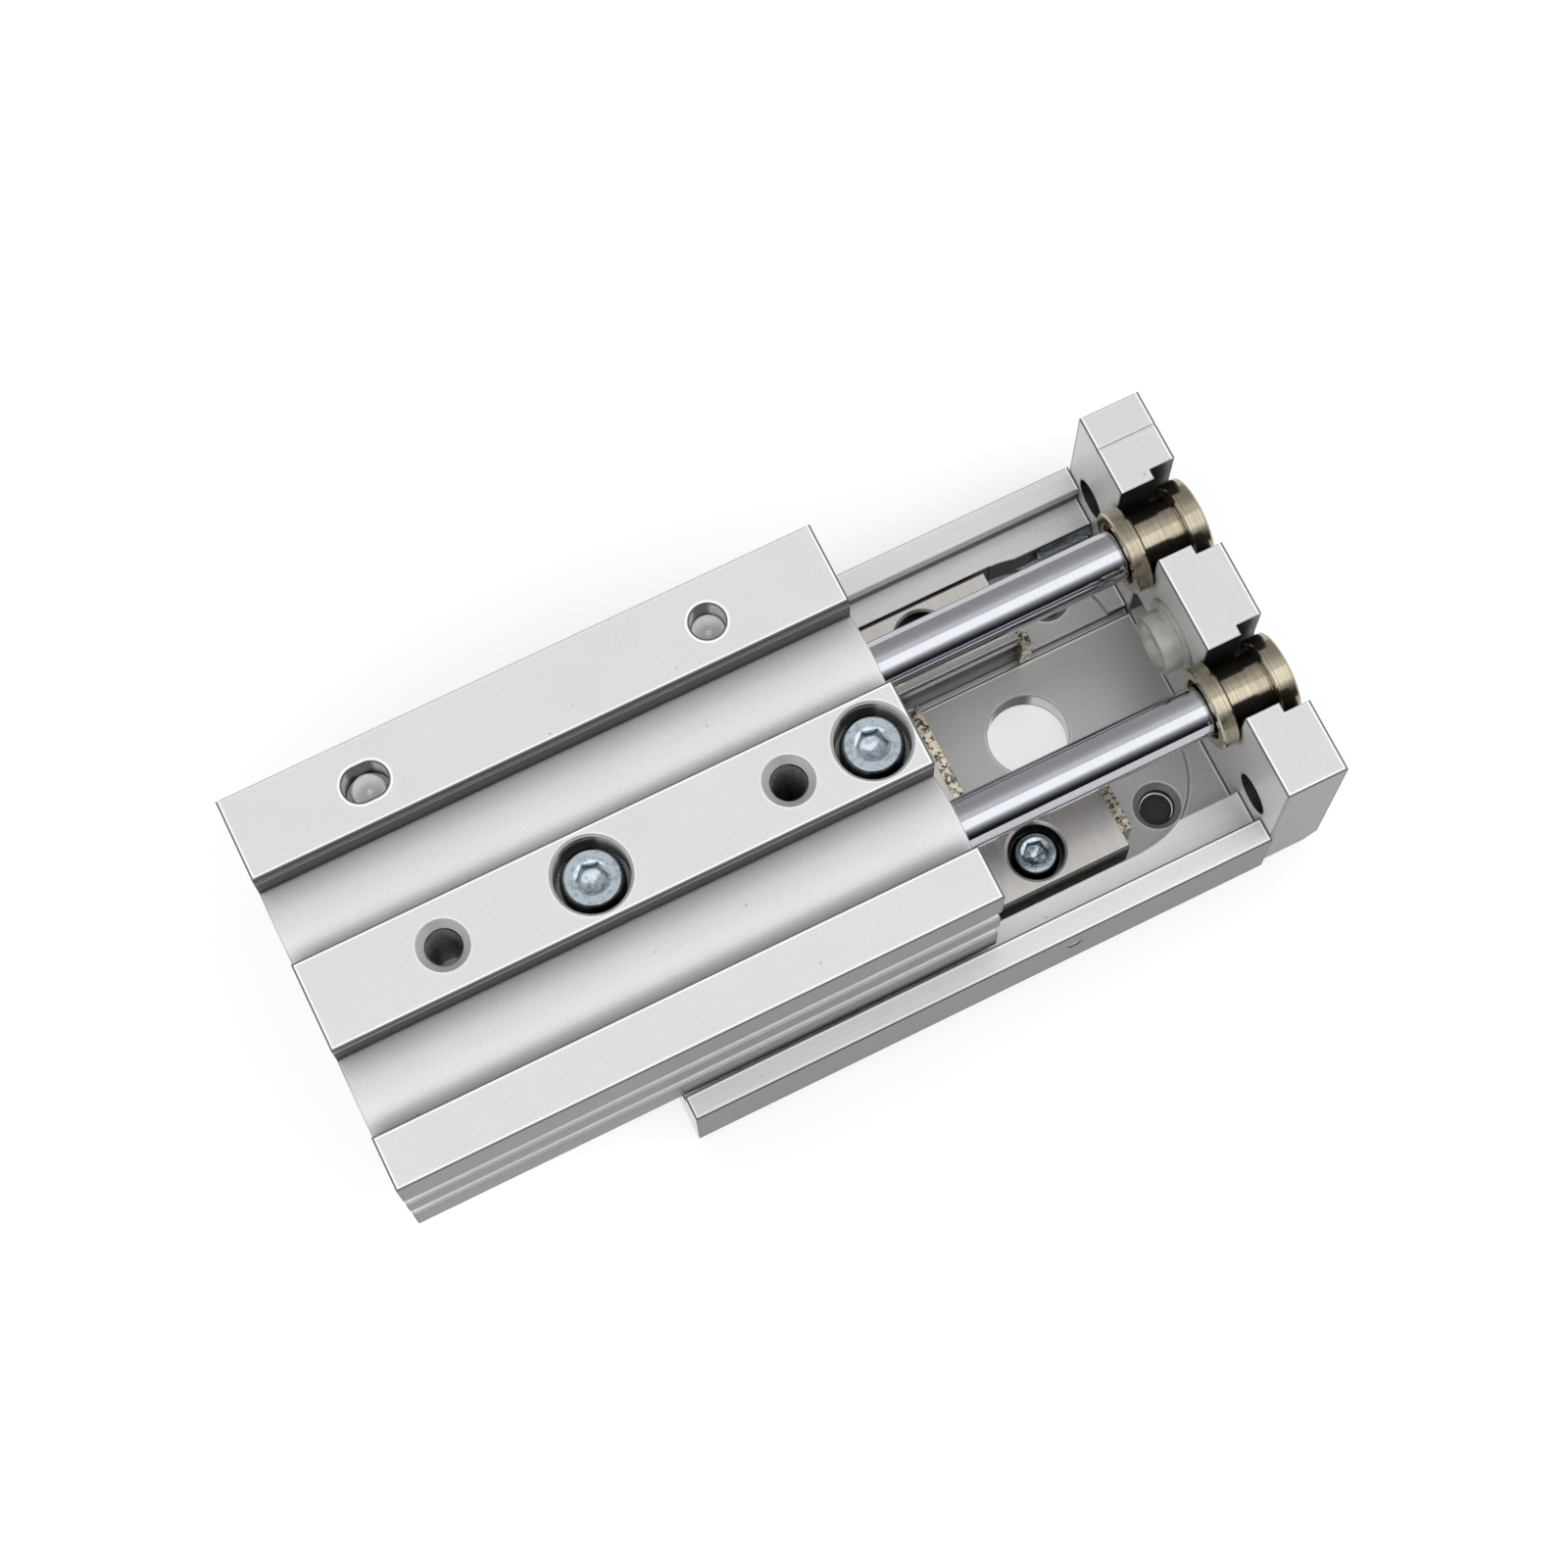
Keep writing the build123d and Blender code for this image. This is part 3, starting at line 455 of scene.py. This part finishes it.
hard_chrome = turned("hard_chrome", (0.51, 0.515, 0.55, 1), (0.46, 0.465, 0.50, 1), 0.06, 4.0, 0.0006)
tan_plating = turned("tan_plating", (0.52, 0.465, 0.36, 1), (0.25, 0.215, 0.155, 1), 0.17, 5.0, 0.007)
cap_metal = turned("cap_metal", (0.78, 0.79, 0.80, 1), (0.62, 0.63, 0.65, 1), 0.30, 5.0, 0.006)
gland_brass = turned("gland_brass", (0.72, 0.60, 0.34, 1), (0.58, 0.46, 0.24, 1), 0.26, 5.0, 0.005)
spring_steel = turned("spring_steel", (0.22, 0.22, 0.24, 1), (0.12, 0.12, 0.13, 1), 0.38, 3.0, 0.004)
magnet_black = turned("magnet_black", (0.10, 0.10, 0.11, 1), (0.05, 0.05, 0.055, 1), 0.55, 2.0, 0.01, 0.8)
turned_nodes = {
    "piston_rods": hard_chrome, "floating_bushes": tan_plating, "head_caps": cap_metal, "pistons": cap_metal,
    "rod_glands": gland_brass, "head_cap_rings": spring_steel, "piston_magnets": magnet_black,
}
for node_name, material in turned_nodes.items():
    wear(node_name, material)
print("turned finishes on", len(turned_nodes), "nodes")

# %% [markdown]
# ## Small parts
# Zinc on the screws is a bluish silver. The stoppers are yellow passivated steel, speckled dark. Seals are rubber,
# the bumper is a milky urethane that lets light through, and the cages are thin brass.

# %% Speckled, zinc, rubber and urethane finishes
def speckled(name, light, dark, scale, threshold, roughness, metallic=1.0, depth=0.01, gloom=0.85):
    """A base colour with darker speckles; `gloom` is how dark the painted shade in its crevices gets."""
    finish = Finish(name)
    spot = finish.place()
    rounded = finish.rounded(0.10)
    edge = finish.edges(rounded, 12.0)
    fine = finish.noise(spot, scale, 4.0, 0.7)
    speck = fine.ramp(threshold - 0.08, threshold + 0.08)
    shade = finish.blend(speck, dark, light)
    # Painted shade in crevices, such as screw sockets, and a painted highlight on edges.
    crevice = 1 - finish.open_air(1.5).ramp(0.25, 0.85)
    shade = finish.blend(crevice * gloom, shade, tuple(0.12 * level for level in dark[:3]) + (1.0,))
    shade = finish.blend(edge * 0.5, shade, tuple(min(1.0, 1.35 * level) for level in light[:3]) + (1.0,))
    return finish.surface({
        "Base Color": shade, "Metallic": metallic, "Roughness": roughness + (0.5 - fine) * 0.15,
        "Normal": finish.bump(fine, depth, rounded)})


passivated = speckled("yellow_passivated", (0.74, 0.68, 0.54, 1), (0.08, 0.065, 0.05, 1), 1.8, 0.48, 0.28, 1.0, 0.05)
blue_zinc = speckled("blue_zinc", (0.47, 0.52, 0.56, 1), (0.30, 0.35, 0.40, 1), 1.2, 0.45, 0.15, gloom=0.90)
plug_zinc = speckled("plug_zinc", (0.52, 0.54, 0.56, 1), (0.38, 0.39, 0.41, 1), 2.0, 0.45, 0.32)
cage_brass = speckled("cage_brass", (0.66, 0.57, 0.34, 1), (0.52, 0.43, 0.24, 1), 1.5, 0.45, 0.30)
roller_steel = speckled("roller_steel", (0.74, 0.75, 0.77, 1), (0.64, 0.65, 0.67, 1), 3.0, 0.45, 0.16)
black_rubber = speckled("black_rubber", (0.035, 0.035, 0.036, 1), (0.02, 0.02, 0.02, 1), 3.0, 0.5, 0.55, 0.0)
small_nodes = {
    "guide_block_stoppers": passivated, "rail_stoppers": passivated, "guide_block_screws": blue_zinc,
    "rail_screws": blue_zinc, "end_plate_screws": blue_zinc, "passage_plug": plug_zinc,
    "roller_cage_near": cage_brass, "roller_cage_far": cage_brass, "rollers_near": roller_steel,
    "rollers_far": roller_steel, "rod_seals": black_rubber, "piston_seals": black_rubber,
}
for node_name, material in small_nodes.items():
    wear(node_name, material)


bumper_z = 16.5


def urethane(name):
    """A milky plastic that lets light through, with two fainter rings moulded about the bumper's axis."""
    finish = Finish(name)
    spot = finish.place()
    _, across, up = finish.parts(spot)
    cloud = finish.noise(spot, 0.5, 3.0)
    ripple = finish.noise(spot, 2.0, 2.0)
    off_axis = (across * across + (up - bumper_z) * (up - bumper_z)).root()
    milk = (cloud.ramp(0.30, 0.70) * 0.4 + 0.5) * (1 - off_axis.near((1.6, 3.2), 0.40) * 0.6)
    return finish.surface({
        "Base Color": finish.blend(milk, (0.42, 0.45, 0.38, 1), (0.98, 1.0, 0.92, 1)),
        "Roughness": 0.04 + ripple * 0.10, "IOR": 1.50, "Transmission Weight": 0.55,
        "Normal": finish.bump(ripple, 0.02, finish.rounded(0.15))})


milky_urethane = urethane("milky_urethane")
wear("end_bumper", milky_urethane)
print("small finishes on", len(small_nodes) + 1, "nodes")

# %% [markdown]
# ## Turned pieces in mesh code
# A turned piece is a stack of rings. One function joins rings into a closed mesh; each ring has a distance along
# the axis and a radius, and the radius may itself change with the angle. With that, the same function makes a
# plain shaft, a knurled head and a hexagon socket.

# %% Ring builder
ring_steps = 96


def hexagon(across_flats):
    """Radius of a hexagon at an angle."""
    def radius(angle):
        turn = (angle % (math.pi / 3)) - math.pi / 6
        return across_flats / 2 / math.cos(turn)
    return radius


def knurled(radius_out, depth, teeth):
    """Radius of a knurled head at an angle."""
    def radius(angle):
        return radius_out - depth * (0.5 - 0.5 * math.cos(teeth * angle))
    return radius


def spokes(direction, steps):
    """The axis as a unit vector, and unit spokes evenly round it with their angles."""
    axis = Vector(direction).normalized()
    side = axis.orthogonal().normalized()
    other = axis.cross(side)
    angles = [2 * math.pi * step / steps for step in range(steps)]
    return axis, [(angle, side * math.cos(angle) + other * math.sin(angle)) for angle in angles]


def ring_mesh(name, rings, origin, direction, material, steps=ring_steps, close_start=True, close_end=True):
    """Join rings of (distance, radius) along an axis. The lengths are in millimetres."""
    axis, around = spokes(direction, steps)
    centre = Vector(origin)
    points, faces = [], []
    for distance, radius in rings:
        for angle, spoke in around:
            reach = radius(angle) if callable(radius) else radius
            points.append((centre + axis * distance + spoke * reach) * mm)
    for row in range(len(rings) - 1):
        for step in range(steps):
            after = (step + 1) % steps
            faces.append((row * steps + step, row * steps + after,
                          (row + 1) * steps + after, (row + 1) * steps + step))
    if close_start:
        faces.append(tuple(reversed(range(steps))))
    if close_end:
        faces.append(tuple((len(rings) - 1) * steps + step for step in range(steps)))
    piece = make_object(name, points, faces, material)
    piece.data.shade_smooth()
    piece.data.set_sharp_from_angle(angle=math.radians(32))
    return piece


def mount_piece(piece, body, slot, *replaced):
    """Let a piece ride on a body, in place of CAD nodes if any are named. The slot is not used."""
    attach(piece, body)
    if replaced:
        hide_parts(*replaced)
    return piece


print("ring steps:", ring_steps)

# %% [markdown]
# ## Socket screws
# A socket head screw has a chamfered and knurled head, a hexagon socket whose floor is the cone of the drill, and
# a shank. The CAD screws are plain, so each is built again with those details on the same axis and seat.

# %% Detailed screws
def socket_screw(name, seat, direction, shank, head, height, socket, socket_depth, length, teeth=48):
    """A screw whose head seats at a point and stands up along a direction."""
    head_radius = head / 2
    side = knurled(head_radius, 0.17, teeth)
    rings = [
        (-length, shank / 2 - 0.35), (-length + 0.35, shank / 2), (-0.02, shank / 2),
        (0.0, head_radius - 0.25), (0.25, head_radius - 0.05),
        (0.35, side), (height - 0.80, side), (height - 0.70, head_radius - 0.14),
        (height - 0.40, head_radius - 0.22), (height - 0.12, head_radius - 0.42), (height, head_radius - 0.58),
        (height, socket / 2 + 0.50), (height - 0.05, socket / 2 + 0.42), (height - 0.12, hexagon(socket + 0.16)),
        (height - 0.30, hexagon(socket)), (height - socket_depth, hexagon(socket)),
        (height - socket_depth, socket / 2 - 0.10), (height - socket_depth - 0.35, socket / 4),
        (height - socket_depth - 0.55, 0.05),
    ]
    return ring_mesh(name, rings, seat, direction, blue_zinc)


m4 = dict(shank=4.0, head=7.2, height=4.0, socket=3.0, socket_depth=2.0)
m3 = dict(shank=3.0, head=5.5, height=3.0, socket=2.5, socket_depth=1.5)
upwards, outwards = (0, 0, 1), (1, 0, 0)


def place_screws(node, body, seats, direction, sizes, length):
    """Replace a node's plain screws by detailed ones and return how many there are."""
    for number, seat in enumerate(seats, 1):
        screw = socket_screw(f"{node}_detailed_{number}", seat, direction, length=length, **sizes)
        mount_piece(screw, body, "zinc_screw", node)
    return len(seats)


block_seats = [(x, 0, 26.8) for x in (-4.83, -38.23)]
rail_seats = [(x, side * 14.14, 6.5) for x in (9.06, -21.54) for side in (1, -1)]
plate_seats = [(36.2, side * 20.0, 5.5) for side in (1, -1)]
block_screw_length, rail_screw_length, plate_screw_length = 19.9, 5.7, 9.9
screw_count = place_screws("guide_block_screws", "cylinder", block_seats, upwards, m4, block_screw_length)
screw_count += place_screws("rail_screws", "table", rail_seats, upwards, m3, rail_screw_length)
screw_count += place_screws("end_plate_screws", "table", plate_seats, outwards, m4, plate_screw_length)
print("detailed screws:", screw_count)

# %% [markdown]
# ## Floating bushes
# Each rod ends in a bush that hangs in a slot of the end plate. Its front flange is a separate ring, so a fine dark
# joint runs round behind it, and every turned corner has a small chamfer. These are the same rings as in the CAD,
# with the chamfers and the joint added, so they replace the plain bushes.

# %% Detailed bushes
bush_front_x = 31.06
bush_rings = [
    (1.4, 2.95), (1.4, 3.6), (0.12, 3.6), (0.0, 3.75), (0.0, 4.78), (0.22, 5.0), (1.88, 5.0), (2.1, 4.78),
    (2.1, 3.35), (2.26, 3.35), (2.26, 3.62), (2.36, 3.7), (7.26, 3.7), (7.34, 3.78), (7.34, 4.78), (7.56, 5.0),
    (9.52, 5.0), (9.74, 4.78), (9.74, 2.4), (9.55, 2.2), (9.55, 0.05),
]
for bush_name, side in (("near", -1), ("far", 1)):
    bush = ring_mesh(f"floating_bush_{bush_name}", bush_rings, (bush_front_x, side * bore_y, bore_z), outwards,
                     tan_plating)
    mount_piece(bush, "table", "tan_nickel", "floating_bushes")
print("bush rings:", len(bush_rings))

# %% [markdown]
# ## Piston rods
# A hard-chromed rod is ground to a mirror, so the facets of a coarse cylinder would show in its stripes. The rods
# are turned again with many more facets and a small chamfer at each end.

# %% Ground rods
rod_head_x, rod_end_x = -26.8, 32.26
rod_length = rod_end_x - rod_head_x
rod_rings = [(0.0, 2.6), (0.4, 3.0), (rod_length - 0.4, 3.0), (rod_length, 2.6)]
for rod_name, side in (("near", -1), ("far", 1)):
    rod = ring_mesh(f"piston_rod_{rod_name}", rod_rings, (rod_head_x, side * bore_y, bore_z), outwards, hard_chrome,
                    steps=160)
    mount_piece(rod, "table", "hard_chrome", "piston_rods")
print("rod length:", round(rod_length, 2), "mm")

# %% [markdown]
# ## Bumper
# The urethane bumper is moulded: a thin flange lies on the end plate, a rounded button stands on it, and its face
# is dished. Light passes through it, so it is closed all round, as glass pieces have to be.

# %% Moulded bumper
bumper_rings = [
    (-1.98, 0.05), (-1.98, 1.9), (0.0, 1.95), (0.0, 4.6), (0.30, 4.6), (0.45, 4.45), (0.50, 3.75), (0.62, 3.65),
    (2.55, 3.65), (2.80, 3.52), (2.90, 3.25), (2.86, 3.05), (2.30, 2.85), (1.75, 2.60), (1.55, 2.10), (1.50, 0.05),
]
bumper = ring_mesh("end_bumper_moulded", bumper_rings, (table_end_x, 0, bumper_z), (-1, 0, 0), milky_urethane)
mount_piece(bumper, "table", "clear_urethane", "end_bumper")
print("bumper rings:", len(bumper_rings))

# %% [markdown]
# ## Bottoms of the locating holes
# A locating hole is drilled, then reamed, so its floor is the drill's cone with a bright dot in the middle. A
# shallow cone on the hole's flat floor shows that, in the round hole and in the middle of the oblong one.

# %% Drill points
locating_floor_z = 28.0
drill_rings = [(0.0, 0.02), (0.02, 0.35), (0.10, 0.42), (0.62, 1.45), (0.66, 1.60), (0.72, 1.93), (0.0, 1.96)]
for hole_name, hole_x in zip(("round", "oblong"), body_threads_x):
    point = ring_mesh(f"drill_point_{hole_name}", drill_rings, (hole_x, locating_y, locating_floor_z), upwards,
                      anodised_body, close_start=False, close_end=False)
    mount_piece(point, "cylinder", "anodised_body")
print("drill points:", len(body_threads_x))

# %% [markdown]
# ## Threads
# A tapped hole shows a few bright turns below its chamfer. A thin helical ridge that lines the hole gives that:
# for every angle step the ridge's crest climbs by a part of the pitch.

# %% Thread linings
bright_thread = turned("bright_thread", (0.80, 0.81, 0.82, 1), (0.60, 0.61, 0.63, 1), 0.22, 3.0, 0.004)
shaded_thread = speckled("shaded_thread", (0.34, 0.34, 0.35, 1), (0.18, 0.18, 0.19, 1), 2.0, 0.45, 0.42, 0.2)


def thread_lining(name, mouth, direction, diameter, pitch, depth, body, slot, material):
    """A helical thread profile that lines a hole, from its mouth inwards."""
    steps, rows_per_turn = 48, 4
    clearance, crest_height = 0.015, 0.16
    axis, around = spokes(direction, steps)
    rows = int(depth / pitch * rows_per_turn)
    points, faces = [], []
    for row in range(rows + 1):
        for step, (angle, spoke) in enumerate(around):
            turns = row / rows_per_turn + step / steps
            crest = abs((turns % 1.0) * 2 - 1)
            radius = diameter / 2 - clearance - crest_height * crest
            distance = min(row * pitch / rows_per_turn, depth)
            points.append((Vector(mouth) - axis * distance + spoke * radius) * mm)
    for row in range(rows):
        for step in range(steps):
            after = (step + 1) % steps
            faces.append((row * steps + after, (row + 1) * steps + after,
                          (row + 1) * steps + step, row * steps + step))
    lining = make_object(name, points, faces, material)
    lining.data.shade_smooth()
    return mount_piece(lining, body, slot)


m5_minor, m5_pitch = 4.2, 0.8
body_mouth_z, body_thread_depth = 31.1, 14.0
table_threads_x, table_threads_y, table_mouth_z, table_thread_depth = (25.2, -4.8, -34.8), 14.0, 2.35, 1.7
sides = (("near", -1), ("far", 1))
for x in body_threads_x:
    thread_lining(f"body_thread_{abs(round(x))}", (x, 0, body_mouth_z), upwards, m5_minor, m5_pitch,
                  body_thread_depth, "cylinder", "anodised_body", shaded_thread)
for row, x in enumerate(table_threads_x):
    for side_name, side in sides:
        thread_lining(f"table_thread_{side_name}_{row}", (x, side * table_threads_y, table_mouth_z), upwards,
                      m5_minor, m5_pitch, table_thread_depth, "table", "anodised_table", bright_thread)
print("thread linings:", len(body_threads_x) + len(table_threads_x) * len(sides))

# %% [markdown]
# The two tapped holes in front of the end plate look dark inside, although light comes through the wide access hole
# beside them. A thin dark disc halfway down each thread is painted shade that gives that depth from both sides.

# %% Painted shade discs in the open threads
shade_disc_rings, shade_disc_z = [(0.0, 0.4), (0.05, 1.85), (0.25, 1.85), (0.30, 0.4)], 1.0
# Each disc is painted shade in the black rubber finish, not a part of the table.
for side_name, side in sides:
    stop = ring_mesh(f"thread_shade_disc_{side_name}", shade_disc_rings, (table_threads_x[0], side * table_threads_y, shade_disc_z),
                     upwards, black_rubber)
    mount_piece(stop, "table", "black_rubber")
print("thread stops:", len(sides))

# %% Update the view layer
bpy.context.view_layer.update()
